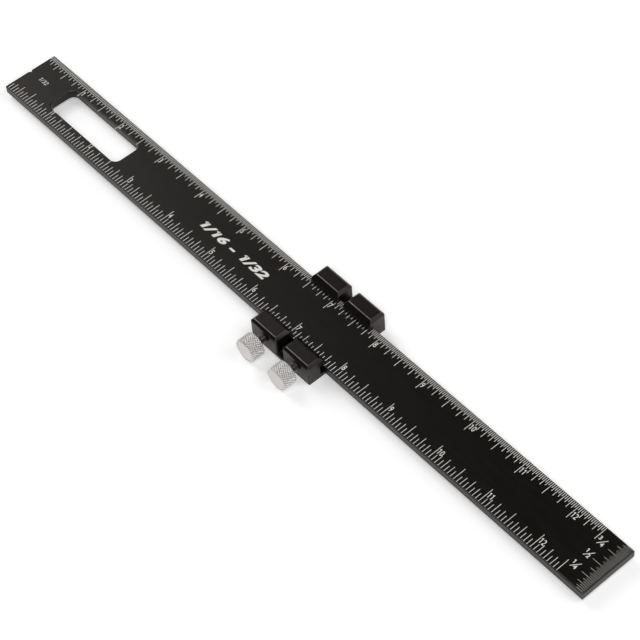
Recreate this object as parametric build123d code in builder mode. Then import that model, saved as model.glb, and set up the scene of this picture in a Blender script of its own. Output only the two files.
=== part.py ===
from build123d import *
import os

# A marking ruler with a sliding stop block that two knurled thumb screws hold. Millimetres.
# +X runs along the scale from its zero end, +Y from the thumb screws to the far edge, +Z up.
# The origin is under the middle of the whole ruler, on the surface that the block stands on.

# Ruler blade
blade_length = 330.2
blade_width = 25.0
blade_thickness = 4.0
blade_chamfer = 0.3
window_from_zero = 21.0
window_length = 44.5
window_width = 13.0
window_corner_radius = 3.0
notch_depth = 1.05
notch_width = 2.1

# Sliding stop block
block_from_zero = 181.65
block_length = 32.6
block_wall = 5.75
block_height = 10.0
block_floor = 1.75
slot_play = 0.1
pad_space = 1.4
lip_reach = 2.55
shoulder_chamfer = 1.1
lip_chamfer = 2.1
end_chamfer = 1.15
corner_chamfer = 0.5
foot_chamfer = 0.3
gap_width = 3.6

# Thumb screws
screw_spacing = 18.0
thread_radius = 2.0
running_clearance = 0.05
stud_tip_chamfer = 0.4
knob_radius = 5.0
knob_length = 5.8
knob_standoff = 3.45
knob_floor_clearance = 0.05
knob_back_chamfer = 0.35
knob_end_round = 0.6
knob_seat_depth = 4.0
knob_seat_clearance = 0.02

# Clamp pads
pad_radius = 0.75
pad_chamfer = 0.15
pad_stem_radius = 0.45
pad_stem_length = 2.0

# Places that follow from the sizes above
block_y = (knob_standoff + knob_length) / 2
blade_y = block_y + (pad_space - slot_play) / 2
blade_bottom = block_floor + slot_play
slot_width = pad_space + blade_width + slot_play
block_span = slot_width + 2 * block_wall
opening_width = slot_width - 2 * lip_reach
slot_height = blade_thickness + 2 * slot_play
slot_top = block_floor + slot_height
zero_x = -blade_length / 2
window_x = zero_x + window_from_zero + window_length / 2
block_x = zero_x + block_from_zero
left_screw_x = block_x - screw_spacing / 2
right_screw_x = block_x + screw_spacing / 2
block_front_y = block_y - block_span / 2
slot_front_y = block_y - slot_width / 2
knob_back_y = block_front_y - knob_standoff
screw_height = knob_radius + knob_floor_clearance
stud_length = slot_front_y - knob_back_y + knob_seat_depth
pad_thickness = pad_space - 2 * running_clearance
pad_front_y = slot_front_y + running_clearance + pad_thickness


def save(piece, name):
    """Name a finished piece and write it."""
    piece.label = name
    export_step(piece, f"parts/{name}.step")


def screw_plane(x, y):
    """A plane square to a thumb screw's axis, facing out towards the knob."""
    return Plane(origin=(x, y, screw_height), x_dir=(1, 0, 0), z_dir=(0, -1, 0))


def make_blade():
    """A flat bar with a rounded window near its zero end and a V notch in that end."""
    with BuildPart() as blade:
        with BuildSketch(Plane.XY.offset(blade_bottom)):
            with Locations((0, blade_y)):
                Rectangle(blade_length, blade_width)
            with Locations((window_x, blade_y)):
                RectangleRounded(window_length, window_width, window_corner_radius, mode=Mode.SUBTRACT)
        extrude(amount=blade_thickness)
        flats = blade.faces().filter_by(Axis.Z)
        chamfer(flats.edges(), length=blade_chamfer)
        with BuildSketch(Plane.XY.offset(blade_bottom)):
            with BuildLine():
                Polyline(
                    (zero_x, blade_y - notch_width / 2),
                    (zero_x + notch_depth, blade_y),
                    (zero_x, blade_y + notch_width / 2),
                    close=True,
                )
            make_face()
        extrude(amount=blade_thickness, mode=Mode.SUBTRACT)
    return blade.part


def make_block():
    """A C channel round the blade, with a gap across its walls and lips between the screws."""
    with BuildPart() as block:
        with BuildSketch(Plane.YZ.offset(block_x - block_length / 2)) as profile:
            with Locations((block_y, block_height / 2)):
                Rectangle(block_span, block_height)
            corners = profile.vertices().group_by(Axis.Y)
            chamfer(corners[-1], length=shoulder_chamfer)
            feet = profile.vertices().group_by(Axis.Y)[0]
            chamfer(feet, length=foot_chamfer)
            with Locations((block_y, block_floor + slot_height / 2)):
                Rectangle(slot_width, slot_height, mode=Mode.SUBTRACT)
            with Locations((block_y, (slot_top + block_height) / 2)):
                Rectangle(opening_width, block_height - slot_top, mode=Mode.SUBTRACT)
            top_corners = profile.vertices().group_by(Axis.Y)[-1].sort_by(Axis.X)
            chamfer(top_corners[1:3], length=lip_chamfer)
        extrude(amount=block_length)
        with BuildSketch(Plane.XZ.offset(-block_y)):
            with BuildLine():
                Polyline(
                    (block_x - gap_width / 2, block_floor),
                    (block_x - gap_width / 2, block_height - end_chamfer),
                    (block_x - gap_width / 2 - end_chamfer, block_height),
                    (block_x + gap_width / 2 + end_chamfer, block_height),
                    (block_x + gap_width / 2, block_height - end_chamfer),
                    (block_x + gap_width / 2, block_floor),
                    close=True,
                )
            make_face()
            for end_x, inwards in ((block_x - block_length / 2, 1), (block_x + block_length / 2, -1)):
                with BuildLine():
                    Polyline(
                        (end_x, block_height - end_chamfer),
                        (end_x + inwards * end_chamfer, block_height),
                        (end_x, block_height),
                        close=True,
                    )
                make_face()
        extrude(amount=block_span, both=True, mode=Mode.SUBTRACT)
        corners = [edge for edge in block.edges().filter_by(Axis.Z) if is_outer_corner(edge)]
        chamfer(corners, length=corner_chamfer)
        for x in (left_screw_x, right_screw_x):
            with BuildSketch(screw_plane(x, slot_front_y)):
                Circle(thread_radius + running_clearance)
            extrude(amount=slot_front_y - block_front_y, mode=Mode.SUBTRACT)
    return block.part


def is_outer_corner(edge):
    """True on the upright edges of the outer walls, at the block's ends and at its gap."""
    return abs(edge.center().Y - block_y) > (slot_width + block_wall) / 2


def make_knob(x):
    """A turned grip with a rounded rim at its end, and a blind seat for the stud."""
    axis = Axis((x, knob_back_y, screw_height), (0, -1, 0))
    face_radius = knob_radius - knob_end_round
    section = Plane(origin=(x, knob_back_y, screw_height), x_dir=(1, 0, 0), z_dir=(0, 0, -1))
    with BuildPart() as knob:
        with BuildSketch(section):
            with BuildLine():
                Polyline(
                    (0, 0),
                    (knob_radius - knob_back_chamfer, 0),
                    (knob_radius, knob_back_chamfer),
                    (knob_radius, knob_length - knob_end_round),
                )
                RadiusArc(
                    (knob_radius, knob_length - knob_end_round),
                    (face_radius, knob_length),
                    -knob_end_round,
                )
                Polyline((face_radius, knob_length), (0, knob_length), (0, 0))
            make_face()
        revolve(axis=axis)
        with BuildSketch(screw_plane(x, knob_back_y)):
            Circle(thread_radius + knob_seat_clearance)
        extrude(amount=knob_seat_depth + knob_seat_clearance, mode=Mode.SUBTRACT)
    return knob.part


def make_stud(x):
    """The screw's shank at its major diameter, with a chamfered tip and a socket for the pad."""
    with BuildPart() as stud:
        with BuildSketch(screw_plane(x, slot_front_y)):
            Circle(thread_radius)
        extrude(amount=stud_length)
        tip = stud.faces().sort_by(Axis.Y)[-1]
        chamfer(tip.edges(), length=stud_tip_chamfer)
        with BuildSketch(screw_plane(x, slot_front_y)):
            Circle(pad_stem_radius + running_clearance)
        extrude(amount=pad_stem_length + running_clearance, mode=Mode.SUBTRACT)
    return stud.part


def make_pad(x):
    """A button that bears on the blade's edge, on a stem that swivels in the stud."""
    with BuildPart() as pad:
        with BuildSketch(screw_plane(x, pad_front_y)):
            Circle(pad_radius)
        extrude(amount=pad_thickness)
        front = pad.faces().sort_by(Axis.Y)[-1]
        chamfer(front.edges(), length=pad_chamfer)
        with BuildSketch(screw_plane(x, pad_front_y - pad_thickness)):
            Circle(pad_stem_radius)
        extrude(amount=pad_stem_length)
    return pad.part


os.makedirs("parts", exist_ok=True)
save(make_blade(), "ruler_blade")
save(make_block(), "stop_block")
for side, screw_x in (("left", left_screw_x), ("right", right_screw_x)):
    save(make_knob(screw_x), f"{side}_clamp_knob")
    save(make_stud(screw_x), f"{side}_clamp_stud")
    save(make_pad(screw_x), f"{side}_clamp_pad")
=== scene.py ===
import math

import bmesh
import bpy
from mathutils import Matrix, Quaternion, Vector


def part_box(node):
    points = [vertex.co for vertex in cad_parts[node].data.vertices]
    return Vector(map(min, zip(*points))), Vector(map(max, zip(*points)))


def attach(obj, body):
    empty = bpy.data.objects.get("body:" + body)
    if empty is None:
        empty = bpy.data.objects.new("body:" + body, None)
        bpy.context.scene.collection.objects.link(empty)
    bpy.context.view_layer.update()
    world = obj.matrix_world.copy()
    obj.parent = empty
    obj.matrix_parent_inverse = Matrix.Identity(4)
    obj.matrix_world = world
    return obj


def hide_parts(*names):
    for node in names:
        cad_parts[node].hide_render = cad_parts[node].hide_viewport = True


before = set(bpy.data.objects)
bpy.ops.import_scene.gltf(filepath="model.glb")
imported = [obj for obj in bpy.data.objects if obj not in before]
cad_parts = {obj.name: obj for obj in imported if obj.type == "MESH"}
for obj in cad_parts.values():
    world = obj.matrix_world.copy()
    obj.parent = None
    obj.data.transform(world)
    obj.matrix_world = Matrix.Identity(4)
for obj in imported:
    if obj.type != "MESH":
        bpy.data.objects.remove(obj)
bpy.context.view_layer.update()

# Units
MM = 0.001
INCH = 0.0254

# The blade's own lines: the scales count from its left end and from half an inch each side of its middle
blade_low, blade_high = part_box("ruler_blade")
zero_x = blade_low.x
face_z = blade_high.z
middle_y = (blade_low.y + blade_high.y) / 2
near_y = middle_y - INCH / 2
far_y = middle_y + INCH / 2
blade_chamfer = 0.3 * MM
near_flat_y = blade_low.y + blade_chamfer
far_flat_y = blade_high.y - blade_chamfer

# Etched graduations
mark_height = 0.012 * MM
near_line_width = 0.21 * MM
far_line_width = 0.22 * MM
end_line_width = 0.09 * MM
scale_length_inches = 12.5
near_per_inch = 16
far_per_inch = 32
end_scale_x = zero_x + 12.995 * INCH

# How far each step's lines reach in inches, from the finest step to the coarsest
near_reaches = (0.135, 0.175, 0.215, 0.255, 0.295)
far_reaches = (0.100, 0.140, 0.180, 0.220, 0.260, 0.300)
end_reaches = (0.125, 0.160, 0.205, 0.250, 0.290)

# Whole-inch numerals
numeral_count = 12
numeral_height = 0.095 * INCH
numeral_gap = 0.024 * INCH
numeral_widen = 0.74
numeral_bold = 0.004
near_numeral_y = near_y + 0.152 * INCH
far_numeral_y = near_y + 0.757 * INCH

# Each end fraction in inches: top figure, its left and bottom, slash ends, lower figure, its left and bottom
end_fractions = (
    ("1", 12.557, 0.262, (12.570, 0.200), (12.668, 0.332), "4", 12.622, 0.200),
    ("1", 12.557, 0.512, (12.567, 0.450), (12.668, 0.582), "2", 12.622, 0.450),
    ("3", 12.537, 0.777, (12.565, 0.708), (12.658, 0.842), "4", 12.622, 0.708),
)
fraction_height = 0.064 * INCH
fraction_line_width = 0.26 * MM
fraction_bold = 0.02

# Each division note: its text, its left, bottom and height in inches, its slant, width and boldness
division_notes = (
    ("1/32", 0.26, 0.475, 0.075, 0.2, 1.0, 0.0),
    ("1/16 - 1/32", 4.47, 0.405, 0.130, 0.25, 1.7, 0.045),
)

# The built-in figures, measured at size 1: height, bearing on the left, and the step from one to the next
figure_height_share = 0.682
figure_bearing_share = 0.10
figure_step_share = 0.5
narrow_step_share = 0.34
narrow_characters = "/ -"

# How each figure is made at size 1: its thickness, the steps of its curves, and its weld
figure_thickness = 1.0
figure_curve_steps = 3
figure_weld = 0.0001

# The 1 that stands in for the built-in one, at size 1: the sides of its stem and the ends of its flag
one_stem_left = 0.22
one_stem_right = 0.32
one_flag_low = (0.10, 0.535)
one_flag_high = (0.22, 0.66)

# Rounded arrises: how far each is rounded, what counts as one, and which way the faces look that take a
# painted highlight
block_top_round = 0.17 * MM
block_edge_round = 0.08 * MM
blade_edge_round = 0.05 * MM
round_steps = 3
solid_weld = 0.001 * MM
flat_angle = math.radians(1)
arris_angle = math.radians(35)
top_tolerance = 0.005 * MM
painted_highlight_up = 0.8
painted_highlight_front = -0.15

# Turned pieces: points closer than the weld are one, and a point within the skin is on the surface
turned_weld = 0.0005 * MM
skin = 0.01 * MM

# Knurled knob: its diamonds, which are flat above the crest share, with painted shade in the valleys below
# the shade share
knurl_teeth = 32
knurl_pitch = 1.00 * MM
knurl_depth = 0.34 * MM
knurl_cells = 6
knurl_crest = 0.7
knurl_shade_share = 0.34

# Knurled knob: its turned form
knob_back_chamfer = 0.35 * MM
knob_plain_rim = 0.25 * MM
knob_end_round = 0.6 * MM
knob_round_step = math.radians(10)
knob_groove_width = 0.16 * MM
knob_groove_depth = 0.20 * MM
knob_seat_depth = 4.0 * MM

# Stud thread, with steep flanks that leave a narrow flat at root and crest
thread_pitch = 0.7 * MM
thread_depth = 0.40 * MM
thread_columns = 40
thread_rows_per_pitch = 8
thread_flank = 1.3
thread_root = 0.15
stud_tip_chamfer = 0.4 * MM
socket_radius = 0.5 * MM
socket_depth = 2.05 * MM


def linear(code):
    """An sRGB hex colour as linear RGBA, by the sRGB standard's own curve."""
    colour = []
    for start in (1, 3, 5):
        channel = int(code[start:start + 2], 16) / 255
        is_dark = channel <= 0.04045
        colour.append(channel / 12.92 if is_dark else ((channel + 0.055) / 1.055) ** 2.4)
    return colour + [1.0]


def add_node(tree, kind, links=None, **settings):
    """Add a node, set its properties and inputs, and link inputs named in links from given outputs."""
    node = tree.nodes.new(kind)
    for key, value in settings.items():
        if hasattr(node, key):
            setattr(node, key, value)
        else:
            node.inputs[key.replace("_", " ")].default_value = value
    for key, output in (links or {}).items():
        tree.links.new(output, node.inputs[key])
    return node


def new_material(name):
    """An empty node material with its Principled shader and output."""
    material = bpy.data.materials.new(name)
    material.use_nodes = True
    tree = material.node_tree
    tree.nodes.clear()
    shader = add_node(tree, "ShaderNodeBsdfPrincipled")
    add_node(tree, "ShaderNodeOutputMaterial", {"Surface": shader.outputs["BSDF"]})
    return material, tree, shader


def grain(tree, size, stretch=(1, 1, 1), detail=3.0):
    """Noise on Object coordinates with features of a real size in metres, stretched along each axis."""
    place = add_node(tree, "ShaderNodeTexCoord")
    scale = [1 / (size * share) for share in stretch]
    mapping = add_node(tree, "ShaderNodeMapping", {"Vector": place.outputs["Object"]}, Scale=scale)
    noise = add_node(
        tree, "ShaderNodeTexNoise", {"Vector": mapping.outputs["Vector"]}, Scale=1.0, Detail=detail
    )
    return noise.outputs["Fac"]


def between(tree, factor, low, high, start=0.35, end=0.65):
    """A value that runs from low to high as factor runs from start to end."""
    node = add_node(
        tree,
        "ShaderNodeMapRange",
        {"Value": factor},
        From_Min=start,
        From_Max=end,
        To_Min=low,
        To_Max=high,
    )
    return node.outputs["Result"]


def two_colours(tree, factor, first, second):
    """A mix of two hex colours by factor. The node's third output is the one for colours."""
    node = add_node(tree, "ShaderNodeMix", {"Factor": factor}, data_type="RGBA")
    node.inputs["A"].default_value = linear(first)
    node.inputs["B"].default_value = linear(second)
    return node.outputs[2]


def bump(tree, shader, height, strength, distance):
    """Fine relief of a real depth under the finish."""
    node = add_node(tree, "ShaderNodeBump", {"Height": height}, Strength=strength, Distance=distance)
    tree.links.new(node.outputs["Normal"], shader.inputs["Normal"])


# Anodised skin: the rolling lines with their relief and uneven gloss, and slow clouds in the dye
rolling_line_size = 0.25 * MM
rolling_relief = 0.004 * MM
rolling_strength = 0.25
rolling_roughness = 0.05
dye_cloud_size = 9 * MM


def anodised_aluminium(name, dark, light, sheen, gloss, roughness, streak):
    """Black anodised aluminium: a dyed oxide skin, near black and satin, with faint rolling lines."""
    material, tree, shader = new_material(name)
    lines = grain(tree, rolling_line_size, (streak, 1, 1))
    cloud = grain(tree, dye_cloud_size)
    tree.links.new(two_colours(tree, cloud, dark, light), shader.inputs["Base Color"])
    rough = between(tree, lines, roughness - rolling_roughness, roughness + rolling_roughness)
    tree.links.new(rough, shader.inputs["Roughness"])
    shader.inputs["Specular IOR Level"].default_value = gloss
    shader.inputs["Specular Tint"].default_value = linear(sheen)
    bump(tree, shader, lines, rolling_strength, rolling_relief)
    return material


# Rubbed arrises: the size of the rubbed patches
rub_size = 0.6 * MM


def worn_edge(name, dark, light):
    """A rounded arris of the anodised parts, rubbed thinner than the faces so that it catches the light. In
    its lighter colours it is a painted highlight as well.
    """
    material, tree, shader = new_material(name)
    rub = grain(tree, rub_size)
    tree.links.new(two_colours(tree, rub, dark, light), shader.inputs["Base Color"])
    shader.inputs["Roughness"].default_value = 0.30
    return material


# Etched marks: the mottle of the burnt oxide and its relief
etch_mottle_size = 0.35 * MM
etch_relief = 0.006 * MM
etch_strength = 0.3


def etched_white(name):
    """Laser-etched marks: the oxide burnt back to a chalky pale grey, a little uneven along each line."""
    material, tree, shader = new_material(name)
    mottle = grain(tree, etch_mottle_size)
    tree.links.new(two_colours(tree, mottle, "#dcd9d4", "#f4f1ec"), shader.inputs["Base Color"])
    shader.inputs["Roughness"].default_value = 0.6
    bump(tree, shader, mottle, etch_strength, etch_relief)
    return material


# Nickel plate: its clouds, and how far they take the roughness down and up
plate_cloud_size = 0.5 * MM
plate_smoother = 0.05
plate_rougher = 0.06


def nickel_plate(name, dark, light, roughness, metallic):
    """Nickel-plated steel: a warm grey metal, made soft and a little chalky by barrel finishing."""
    material, tree, shader = new_material(name)
    cloud = grain(tree, plate_cloud_size)
    shader.inputs["Metallic"].default_value = metallic
    tree.links.new(two_colours(tree, cloud, dark, light), shader.inputs["Base Color"])
    rough = between(tree, cloud, roughness - plate_smoother, roughness + plate_rougher)
    tree.links.new(rough, shader.inputs["Roughness"])
    return material


# Lathe rings on the knobs' ends, drawn two or three times as coarse as a real feed so that they show
ring_spacing = 0.32 * MM
ring_relief = 0.004 * MM
ring_strength = 0.5
ring_smooth = 0.42
ring_rough = 0.48
turned_cloud_size = 1.5 * MM

# The scale at which Blender's wave texture draws one ring for each unit of length
one_ring_per_unit = math.pi / 10


def turned_face(name, centre):
    """A knob's turned end: plated steel, satin, with faint rings about its axis from the lathe tool."""
    material, tree, shader = new_material(name)
    cloud = grain(tree, turned_cloud_size)
    place = add_node(tree, "ShaderNodeTexCoord")
    mapping = add_node(
        tree,
        "ShaderNodeMapping",
        {"Vector": place.outputs["Object"]},
        Location=-centre / ring_spacing,
        Scale=[1 / ring_spacing] * 3,
    )
    rings = add_node(
        tree,
        "ShaderNodeTexWave",
        {"Vector": mapping.outputs["Vector"]},
        wave_type="RINGS",
        rings_direction="Y",
        Scale=one_ring_per_unit,
    )
    shader.inputs["Metallic"].default_value = 1.0
    rough = between(tree, rings.outputs["Fac"], ring_smooth, ring_rough, start=0.0, end=1.0)
    tree.links.new(rough, shader.inputs["Roughness"])
    tree.links.new(two_colours(tree, cloud, "#cfcbc9", "#dcd8d6"), shader.inputs["Base Color"])
    bump(tree, shader, rings.outputs["Fac"], ring_strength, ring_relief)
    return material


# Nylon: its milky clouds and the faint relief of its moulding
nylon_cloud_size = 0.8 * MM
nylon_relief = 0.01 * MM
nylon_strength = 0.2


def natural_nylon(name):
    """Natural nylon: a milky off-white plastic with a soft waxy sheen."""
    material, tree, shader = new_material(name)
    cloud = grain(tree, nylon_cloud_size)
    tree.links.new(two_colours(tree, cloud, "#d9d4c4", "#e8e4d8"), shader.inputs["Base Color"])
    shader.inputs["Roughness"].default_value = 0.45
    bump(tree, shader, cloud, nylon_strength, nylon_relief)
    return material


blade_finish = anodised_aluminium(
    "black_anodised_blade",
    dark="#030303",
    light="#050504",
    sheen="#fff3ec",
    gloss=0.35,
    roughness=0.38,
    streak=40,
)
block_finish = anodised_aluminium(
    "black_anodised_block",
    dark="#090706",
    light="#0d0a09",
    sheen="#ffebe5",
    gloss=0.43,
    roughness=0.38,
    streak=6,
)
# Arrises on top that face up and to the front: the rubbed edge made much lighter, as a painted highlight
rubbed_edge_with_painted_highlight = worn_edge("rubbed_anodised_arris_with_painted_highlight", dark="#5d5956", light="#8a8581")
edge_finish = worn_edge("rubbed_anodised_edge", dark="#1c1a19", light="#2e2b29")
mark_finish = etched_white("laser_etched_white")
knurl_finish = nickel_plate(
    "nickel_plated_knurl", dark="#f6f3f1", light="#fffdfc", roughness=0.27, metallic=0.3
)
# Knurl valleys: the nickel painted much darker, as painted shade in the recesses
painted_valley_shade = nickel_plate(
    "nickel_knurl_painted_valley_shade", dark="#5a5653", light="#726e6b", roughness=0.45, metallic=0.5
)
# The stud's thread: the nickel painted dark, as painted shade under the knob
thread_with_painted_shade = nickel_plate(
    "nickel_thread_painted_shade", dark="#5b5754", light="#75716d", roughness=0.38, metallic=1.0
)
pad_finish = natural_nylon("natural_nylon_pad")


def make_piece(shape, name, body, materials):
    """Turn a bmesh into a named piece on a body, with its materials in order."""
    mesh = bpy.data.meshes.new(name)
    shape.to_mesh(mesh)
    shape.free()
    for material in materials:
        mesh.materials.append(material)
    piece = bpy.data.objects.new(name, mesh)
    bpy.context.scene.collection.objects.link(piece)
    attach(piece, body)
    return piece


def make_marks(shape, name):
    """Turn a bmesh into a named piece of etched marks on the blade."""
    make_piece(shape, name, "ruler", [mark_finish])


def add_bar(shape, low, high):
    """Add a closed box between two corners."""
    low, high = Vector(low), Vector(high)
    place = Matrix.LocRotScale((low + high) / 2, None, high - low)
    bmesh.ops.create_cube(shape, size=1, matrix=place)


def add_slanted_bar(shape, start, end, width, bottom, height):
    """Add a closed flat bar that lies level from start to end."""
    start, end = Vector(start), Vector(end)
    run = end - start
    turn = Quaternion((0, 0, 1), math.atan2(run.y, run.x))
    middle = (start + end) / 2
    centre = (middle.x, middle.y, bottom + height / 2)
    place = Matrix.LocRotScale(centre, turn, (run.length, width, height))
    bmesh.ops.create_cube(shape, size=1, matrix=place)


def reach_of(index, reaches):
    """How far a graduation reaches: each time its number can be halved, as far as the next coarser step."""
    step = 0
    while index % 2 == 0 and step < len(reaches) - 1:
        index //= 2
        step += 1
    return reaches[step] * INCH


def make_near_scale():
    """Sixteenths along the near edge."""
    shape = bmesh.new()
    half = near_line_width / 2
    for index in range(1, int(scale_length_inches * near_per_inch) + 1):
        x = zero_x + index * INCH / near_per_inch
        tip = near_y + reach_of(index, near_reaches)
        add_bar(shape, (x - half, near_flat_y, face_z), (x + half, tip, face_z + mark_height))
    make_marks(shape, "near_scale_sixteenths")


def make_far_scale():
    """Thirty-seconds along the far edge."""
    shape = bmesh.new()
    half = far_line_width / 2
    for index in range(1, int(scale_length_inches * far_per_inch) + 1):
        x = zero_x + index * INCH / far_per_inch
        tip = far_y - reach_of(index, far_reaches)
        add_bar(shape, (x - half, tip, face_z), (x + half, far_flat_y, face_z + mark_height))
    make_marks(shape, "far_scale_thirty_seconds")


def make_end_scale():
    """Thirty-seconds across the right end."""
    shape = bmesh.new()
    half = end_line_width / 2
    start = end_scale_x - blade_chamfer
    for index in range(1, far_per_inch):
        y = near_y + index * INCH / far_per_inch
        tip = end_scale_x - reach_of(index, end_reaches)
        add_bar(shape, (tip, y - half, face_z), (start, y + half, face_z + mark_height))
    make_marks(shape, "end_scale_thirty_seconds")


def add_plain_one(glyph, bold):
    """Add a 1 of a plain stem with a slanted flag, at size 1."""
    left = one_stem_left - bold
    right = one_stem_right + bold
    add_bar(glyph, (left, 0, 0), (right, figure_height_share, figure_thickness))
    add_slanted_bar(glyph, one_flag_low, one_flag_high, right - left, 0, figure_thickness)


def add_font_character(glyph, character, bold):
    """Add an extruded character of the built-in font, at size 1."""
    curve = bpy.data.curves.new("figure", "FONT")
    curve.body = character
    curve.size = 1
    curve.extrude = figure_thickness / 2
    curve.offset = bold
    curve.resolution_u = figure_curve_steps
    holder = bpy.data.objects.new("figure", curve)
    bpy.context.scene.collection.objects.link(holder)
    graph = bpy.context.evaluated_depsgraph_get()
    mesh = bpy.data.meshes.new_from_object(holder.evaluated_get(graph))
    glyph.from_mesh(mesh)
    bmesh.ops.translate(glyph, verts=glyph.verts, vec=(0, 0, figure_thickness / 2))
    bmesh.ops.remove_doubles(glyph, verts=glyph.verts, dist=figure_weld)
    bpy.data.objects.remove(holder)
    bpy.data.curves.remove(curve)
    bpy.data.meshes.remove(mesh)


def add_figure(shape, character, place, bold):
    """Add one figure to the shape through the matrix place, which gives its size and position."""
    glyph = bmesh.new()
    if character == "1":
        add_plain_one(glyph, bold)
    else:
        add_font_character(glyph, character, bold)
    bmesh.ops.transform(glyph, matrix=place, verts=glyph.verts)
    held = bpy.data.meshes.new("held")
    glyph.to_mesh(held)
    shape.from_mesh(held)
    bpy.data.meshes.remove(held)
    glyph.free()


def add_figures(shape, text, left, bottom, height, slant=0.0, widen=1.0, bold=0.0):
    """Set plain figures on the blade's face from a left and bottom corner."""
    size = height / figure_height_share
    lean = Matrix.Identity(4)
    lean[0][1] = slant
    cursor = left - figure_bearing_share * size * widen
    for character in text:
        scale = Matrix.LocRotScale((cursor, bottom, face_z), None, (size * widen, size, mark_height))
        if character != " ":
            add_figure(shape, character, scale @ lean, bold)
        is_narrow = character in narrow_characters
        cursor += size * widen * (narrow_step_share if is_narrow else figure_step_share)


def make_numerals():
    """Whole inches beside their lines on both scales."""
    shape = bmesh.new()
    for inch in range(1, numeral_count + 1):
        left = zero_x + inch * INCH + numeral_gap
        for bottom in (near_numeral_y, far_numeral_y):
            add_figures(
                shape, str(inch), left, bottom, numeral_height, widen=numeral_widen, bold=numeral_bold
            )
    make_marks(shape, "scale_numerals")


def make_end_fractions():
    """The quarter, half and three-quarter marks of the end scale."""
    shape = bmesh.new()
    for top, top_x, top_y, start, end, low, low_x, low_y in end_fractions:
        for figure, x, y in ((top, top_x, top_y), (low, low_x, low_y)):
            left = zero_x + x * INCH
            bottom = near_y + y * INCH
            add_figures(shape, figure, left, bottom, fraction_height, bold=fraction_bold)
        add_slanted_bar(
            shape,
            (zero_x + start[0] * INCH, near_y + start[1] * INCH),
            (zero_x + end[0] * INCH, near_y + end[1] * INCH),
            fraction_line_width,
            face_z,
            mark_height,
        )
    make_marks(shape, "end_scale_fractions")


def make_division_notes():
    """Plain figures for how the scales divide: small by the zero end, bold and slanted mid-blade."""
    shape = bmesh.new()
    for text, x, y, height, slant, widen, bold in division_notes:
        left = zero_x + x * INCH
        bottom = near_y + y * INCH
        add_figures(shape, text, left, bottom, height * INCH, slant, widen, bold)
    make_marks(shape, "division_notes")


def rounded_copy(node, name, body, top_width, width, face_material):
    """A CAD node's own shape with rounded arrises, and a painted highlight on those on top that face up and
    to the front.
    """
    shape = bmesh.new()
    shape.from_mesh(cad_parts[node].data)
    bmesh.ops.remove_doubles(shape, verts=shape.verts, dist=solid_weld)
    bmesh.ops.dissolve_limit(shape, angle_limit=flat_angle, verts=shape.verts, edges=shape.edges)
    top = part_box(node)[1].z - top_tolerance
    for is_top, offset in ((True, top_width), (False, width)):
        arrises = [
            edge for edge in shape.edges
            if len(edge.link_faces) == 2
            and edge.calc_face_angle() > arris_angle
            and all(vert.co.z > top for vert in edge.verts) == is_top
        ]
        made = bmesh.ops.bevel(
            shape,
            geom=arrises,
            offset=offset,
            offset_type="OFFSET",
            segments=round_steps,
            profile=0.5,
            affect="EDGES",
            clamp_overlap=True,
            material=-1,
        )
        shape.normal_update()
        for face in made["faces"]:
            face.smooth = True
            # Painted highlight: arrises on top that face up and to the front take the much lighter edge
            # colours
            gets_painted_highlight = is_top and face.normal.z > painted_highlight_up and face.normal.y < painted_highlight_front
            face.material_index = 2 if gets_painted_highlight else 1
    piece = make_piece(shape, name, body, [face_material, edge_finish, rubbed_edge_with_painted_highlight])
    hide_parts(node)


def spun(profile, columns):
    """A closed turned shape about the Y axis from (radius, y) points that start and end on the axis."""
    shape = bmesh.new()
    rim = [shape.verts.new((radius, y, 0)) for radius, y in profile]
    edges = [shape.edges.new(pair) for pair in zip(rim, rim[1:])]
    bmesh.ops.spin(
        shape,
        geom=rim + edges,
        cent=(0, 0, 0),
        axis=(0, 1, 0),
        dvec=(0, 0, 0),
        angle=2 * math.pi,
        steps=columns,
        use_merge=True,
    )
    bmesh.ops.remove_doubles(shape, verts=shape.verts, dist=turned_weld)
    bmesh.ops.recalc_face_normals(shape, faces=shape.faces)
    return shape


def sink(vert, depth, radius):
    """Move a point of a turned surface towards the Y axis by a depth."""
    share = 1 - depth / radius
    vert.co.x *= share
    vert.co.z *= share


def wave(turn):
    """A triangle wave: 0 at whole turns and 1 at half turns."""
    return 1 - abs(2 * (turn % 1) - 1)


def even_rows(start, end, step):
    """Evenly spaced values from start to end, about a step apart."""
    count = max(1, round(abs(end - start) / step))
    return [start + (end - start) * row / count for row in range(count + 1)]


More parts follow.
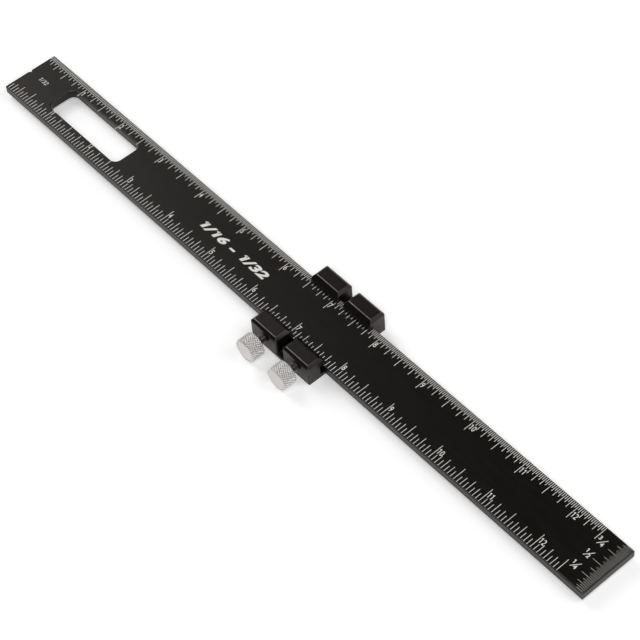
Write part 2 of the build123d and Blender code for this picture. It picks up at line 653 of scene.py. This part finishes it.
def make_knob(side):
    """The thumb knob: crossed knurling, a plain rounded rim, and a flat turned face in a fine groove."""
    low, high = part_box(side + "_clamp_knob")
    stud_low, stud_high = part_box(side + "_clamp_stud")
    radius = (high.x - low.x) / 2
    seat_radius = (stud_high.x - stud_low.x) / 2
    face_radius = radius - knob_end_round
    back, front = high.y, low.y
    grip_start = back - knob_back_chamfer
    grip_end = front + knob_plain_rim
    profile = [
        (0, back - knob_seat_depth),
        (seat_radius, back - knob_seat_depth),
        (seat_radius, back),
        (radius - knob_back_chamfer, back),
    ]
    grip_rows = even_rows(grip_start, front + knob_end_round, knurl_pitch / knurl_cells)
    profile += [(radius, y) for y in grip_rows[:-1]]
    for angle in even_rows(0, math.pi / 2, knob_round_step):
        profile.append((
            face_radius + knob_end_round * math.cos(angle),
            front + knob_end_round * (1 - math.sin(angle)),
        ))
    profile += [
        (face_radius, front + knob_groove_depth),
        (face_radius - knob_groove_width, front + knob_groove_depth),
        (face_radius - knob_groove_width, front),
        (0, front),
    ]
    shape = spun(profile, knurl_teeth * knurl_cells)
    for vert in shape.verts:
        on_grip = grip_end < vert.co.y < grip_start
        if on_grip and vert.co.xz.length > face_radius:
            turn = math.atan2(vert.co.z, vert.co.x) / (2 * math.pi) * knurl_teeth
            rise = (grip_start - vert.co.y) / knurl_pitch
            crest = min(wave(turn + rise), wave(turn - rise), knurl_crest) / knurl_crest
            sink(vert, knurl_depth * (1 - crest), radius)
    for face in shape.faces:
        centre = face.calc_center_median()
        on_end = centre.y < grip_end
        on_grip = grip_end < centre.y < back
        in_seat = not on_end and centre.xz.length < seat_radius + skin
        face.smooth = in_seat or (on_end and centre.xz.length > face_radius)
        if on_end:
            face.material_index = 1
        # Faces deep in the knurl's valleys take the darker nickel: painted shade
        elif on_grip and centre.xz.length < radius - knurl_depth * (1 - knurl_shade_share):
            face.material_index = 2
    middle = (low + high) / 2
    bmesh.ops.translate(shape, verts=shape.verts, vec=(middle.x, 0, middle.z))
    finishes = [knurl_finish, turned_face(side + "_turned_nickel_end", middle), painted_valley_shade]
    piece = make_piece(shape, side + "_knurled_knob", side + "_screw", finishes)
    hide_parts(side + "_clamp_knob")


def make_stud(side):
    """The stud with its real thread: a right-hand helix out along -Y, from the chamfered tip."""
    low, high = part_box(side + "_clamp_stud")
    radius = (high.x - low.x) / 2
    tip, inner = high.y, low.y
    rows = even_rows(tip - stud_tip_chamfer, inner, thread_pitch / thread_rows_per_pitch)
    profile = [
        (0, tip - socket_depth),
        (socket_radius, tip - socket_depth),
        (socket_radius, tip),
        (radius - stud_tip_chamfer, tip),
    ]
    profile += [(radius, y) for y in rows]
    profile.append((0, inner))
    shape = spun(profile, thread_columns)
    for vert in shape.verts:
        if vert.co.xz.length > radius - skin:
            turn = math.atan2(vert.co.z, vert.co.x) / (2 * math.pi)
            flank = wave((tip - vert.co.y) / thread_pitch - turn)
            crest = min(max(flank * thread_flank - thread_root, 0), 1)
            sink(vert, thread_depth * (1 - crest), radius)
    for face in shape.faces:
        face.smooth = True
    middle = (low + high) / 2
    bmesh.ops.translate(shape, verts=shape.verts, vec=(middle.x, 0, middle.z))
    piece = make_piece(shape, side + "_threaded_stud", side + "_screw", [thread_with_painted_shade])
    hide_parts(side + "_clamp_stud")


make_near_scale()
make_far_scale()
make_end_scale()
make_numerals()
make_end_fractions()
make_division_notes()
rounded_copy(
    "ruler_blade",
    "blade",
    "ruler",
    top_width=blade_edge_round,
    width=blade_edge_round,
    face_material=blade_finish,
)
rounded_copy(
    "stop_block",
    "sliding_block",
    "slider",
    top_width=block_top_round,
    width=block_edge_round,
    face_material=block_finish,
)
for side in ("left", "right"):
    make_knob(side)
    make_stud(side)
    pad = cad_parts[side + "_clamp_pad"]
    pad.data.materials.clear()
    pad.data.materials.append(pad_finish)


# Floor: half its width, and the two distances between which its glow grows as the lamps' light fades
floor_half_width = 6.0
glow_start = 0.40
glow_end = 1.60
near_glow = 0.30
far_glow = 1.0


def make_floor():
    """A wide pale floor where the block stands, white to the eye at any distance, with the shadow kept."""
    material, tree, shader = new_material("pale_floor")
    shader.inputs["Base Color"].default_value = linear("#f4f4f4")
    shader.inputs["Roughness"].default_value = 0.9
    shader.inputs["Specular IOR Level"].default_value = 0.0
    path = add_node(tree, "ShaderNodeLightPath")
    seen = add_node(
        tree,
        "ShaderNodeMath",
        {0: path.outputs["Is Camera Ray"], 1: path.outputs["Is Glossy Ray"]},
        operation="ADD",
    )
    seen_too = add_node(
        tree,
        "ShaderNodeMath",
        {0: seen.outputs[0], 1: path.outputs["Is Transmission Ray"]},
        operation="ADD",
        use_clamp=True,
    )
    place = add_node(tree, "ShaderNodeTexCoord")
    distance = add_node(tree, "ShaderNodeVectorMath", {0: place.outputs["Object"]}, operation="LENGTH")
    glow = between(tree, distance.outputs["Value"], near_glow, far_glow, glow_start, glow_end)
    strength = add_node(
        tree, "ShaderNodeMath", {0: seen_too.outputs[0], 1: glow}, operation="MULTIPLY"
    )
    tree.links.new(strength.outputs[0], shader.inputs["Emission Strength"])
    shader.inputs["Emission Color"].default_value = (1, 1, 1, 1)
    shape = bmesh.new()
    bmesh.ops.create_grid(shape, x_segments=1, y_segments=1, size=floor_half_width)
    mesh = bpy.data.meshes.new("floor")
    shape.to_mesh(mesh)
    shape.free()
    mesh.materials.append(material)
    floor = bpy.data.objects.new("floor", mesh)
    bpy.context.scene.collection.objects.link(floor)


def make_world():
    """A dark room, so that the black top face stays black where no lamp shines in it."""
    world = bpy.data.worlds.new("studio")
    bpy.context.scene.world = world
    world.use_nodes = True
    tree = world.node_tree
    tree.nodes.clear()
    back = add_node(tree, "ShaderNodeBackground", Color=(0, 0, 0, 1))
    add_node(tree, "ShaderNodeOutputWorld", {"Surface": back.outputs["Background"]})


# Soft square lamps that face the origin: bearing from +X and height in degrees, distance, size, watts
soft_lamps = (
    ("back_right_low_softbox", 45, 20, 0.90, 0.50, 2.2),
    ("back_right_high_softbox", 35, 55, 0.90, 0.50, 1.8),
    ("front_right_high_softbox", 315, 50, 0.90, 0.50, 3.2),
    ("left_high_softbox", 180, 50, 0.90, 0.50, 1.9),
    ("left_low_softbox", 185, 30, 0.90, 0.50, 2.4),
)


def add_lamp(name, bearing, height, distance, size, power):
    """A soft square lamp that faces the origin from a bearing and a height in degrees."""
    lamp = bpy.data.lights.new(name, "AREA")
    lamp.shape = "SQUARE"
    lamp.size = size
    lamp.energy = power
    across, up = math.radians(bearing), math.radians(height)
    level = math.cos(up)
    place = distance * Vector((math.cos(across) * level, math.sin(across) * level, math.sin(up)))
    holder = bpy.data.objects.new(name, lamp)
    holder.location = place
    holder.rotation_mode = "QUATERNION"
    holder.rotation_quaternion = (-place).to_track_quat("-Z", "Y")
    bpy.context.scene.collection.objects.link(holder)


# The photograph's camera: where it stands, what it looks at, its tilt about that line, and its lens
camera_place = Vector((417.9, -295.375, 640.3)) * MM
camera_aim = Vector((16.22, 5.835, 5.85)) * MM
camera_tilt = math.radians(-5.38)
camera_lens = 122.8
camera_film = 36.0


def make_camera():
    """The camera at the photograph's place and angle."""
    camera = bpy.data.cameras.new("camera")
    camera.lens = camera_lens
    camera.sensor_width = camera_film
    camera.clip_start = 0.01
    camera.clip_end = 50
    holder = bpy.data.objects.new("camera", camera)
    holder.location = camera_place
    holder.rotation_mode = "QUATERNION"
    facing = (camera_aim - camera_place).to_track_quat("-Z", "Y")
    holder.rotation_quaternion = facing @ Quaternion((0, 0, 1), camera_tilt)
    bpy.context.scene.collection.objects.link(holder)
    bpy.context.scene.camera = holder


make_floor()
make_world()
make_camera()
for lamp_settings in soft_lamps:
    add_lamp(*lamp_settings)
bpy.context.scene.view_settings.view_transform = "Standard"
